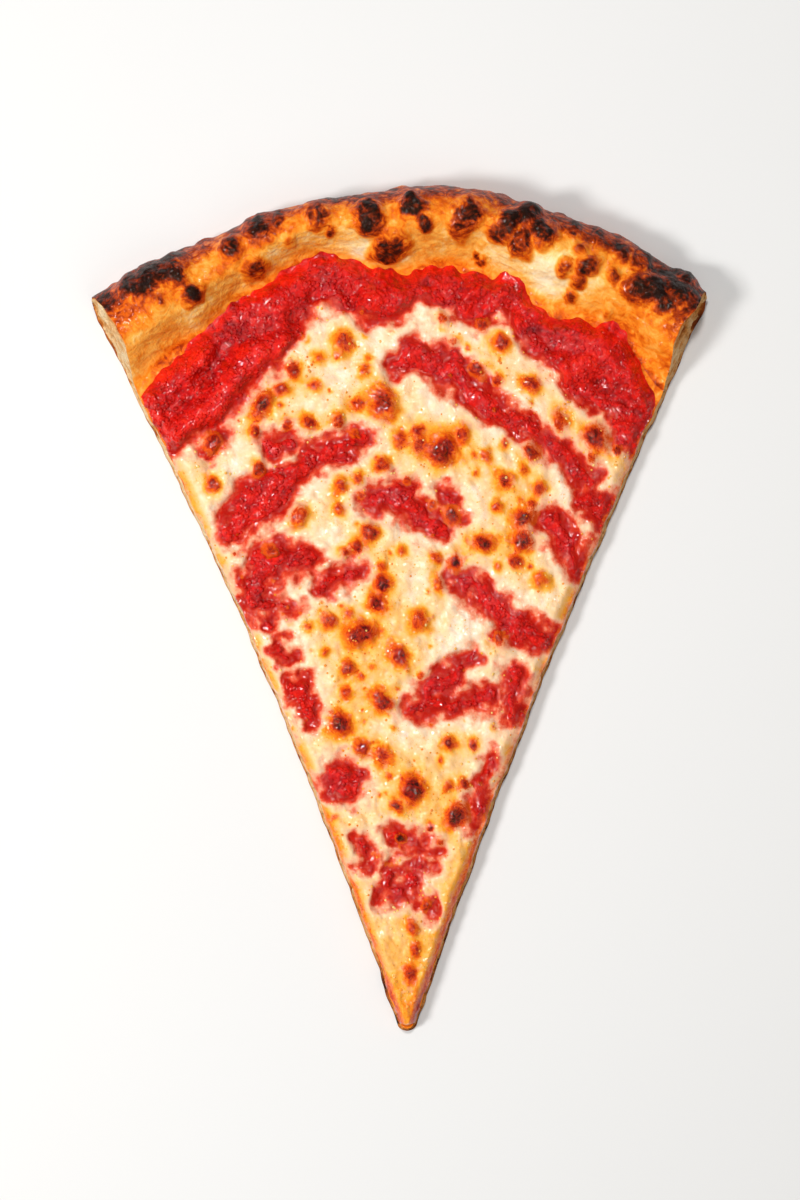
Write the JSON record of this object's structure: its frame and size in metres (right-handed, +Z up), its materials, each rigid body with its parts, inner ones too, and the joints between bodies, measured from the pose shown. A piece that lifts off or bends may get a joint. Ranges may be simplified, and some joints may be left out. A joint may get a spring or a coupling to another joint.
{
  "type": "cheese pizza slice",
  "caption": "Wedge of thin-crust cheese pizza with a puffed browned rim, a sauce layer and blistered melted cheese cut through on both sides",
  "frame": {"origin": "Centre of the bounding box in X and Y, on the flat underside of the crust at Z", "axes": "+Y runs from the tip of the wedge to its rim, +Z is up through the layers, +X runs to the right-hand cut seen from above with the rim away"},
  "size_m": [0.1674, 0.2298, 0.0206],
  "materials": {
    "crust": "baked dough, matte, browned at the rim",
    "tomato_sauce": "wet tomato pulp, glossy",
    "melted_cheese": "melted mozzarella, satin with oil"
  },
  "bodies": {
    "root": {"crust": "crust", "tomato_sauce": "tomato_sauce", "melted_cheese": "melted_cheese"}
  },
  "joints": []
}
